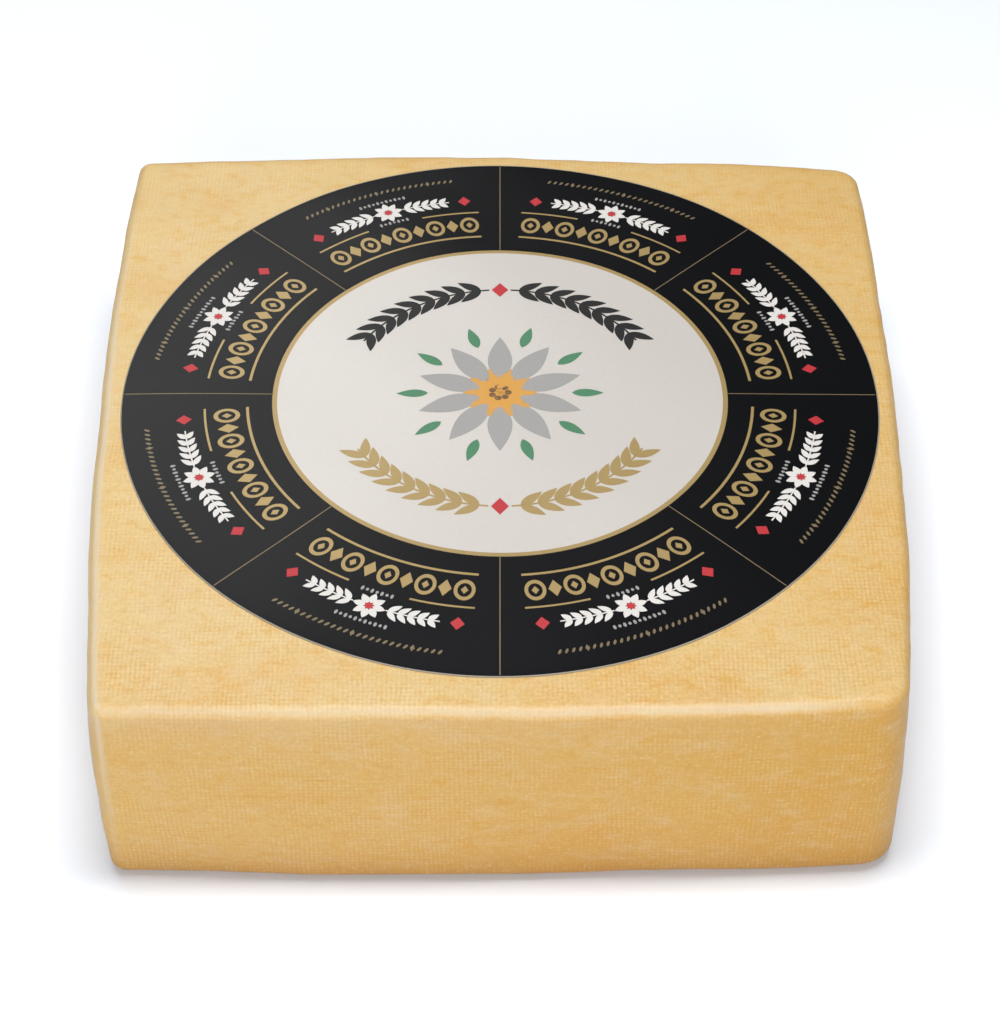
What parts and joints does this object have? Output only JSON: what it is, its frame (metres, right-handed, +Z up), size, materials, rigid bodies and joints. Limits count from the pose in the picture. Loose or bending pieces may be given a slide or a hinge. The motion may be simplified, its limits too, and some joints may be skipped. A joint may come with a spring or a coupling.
{
  "type": "square raclette cheese block",
  "caption": "Whole square block of semi-hard cheese with bowed sides, tightly rounded edges, a cloth-marked yellow rind and a large round paper label on its top",
  "frame": {"origin": "middle of the flat base, on the floor", "axes": "+Z up through the label, -Y towards the front side that the picture shows, +X to the viewer's right"},
  "size_m": [0.276, 0.284, 0.0832],
  "materials": {
    "waxed_rind": "satin",
    "printed_paper": "matte"
  },
  "bodies": {
    "root": {"cheese_block": "waxed_rind", "label": "printed_paper"}
  },
  "joints": []
}
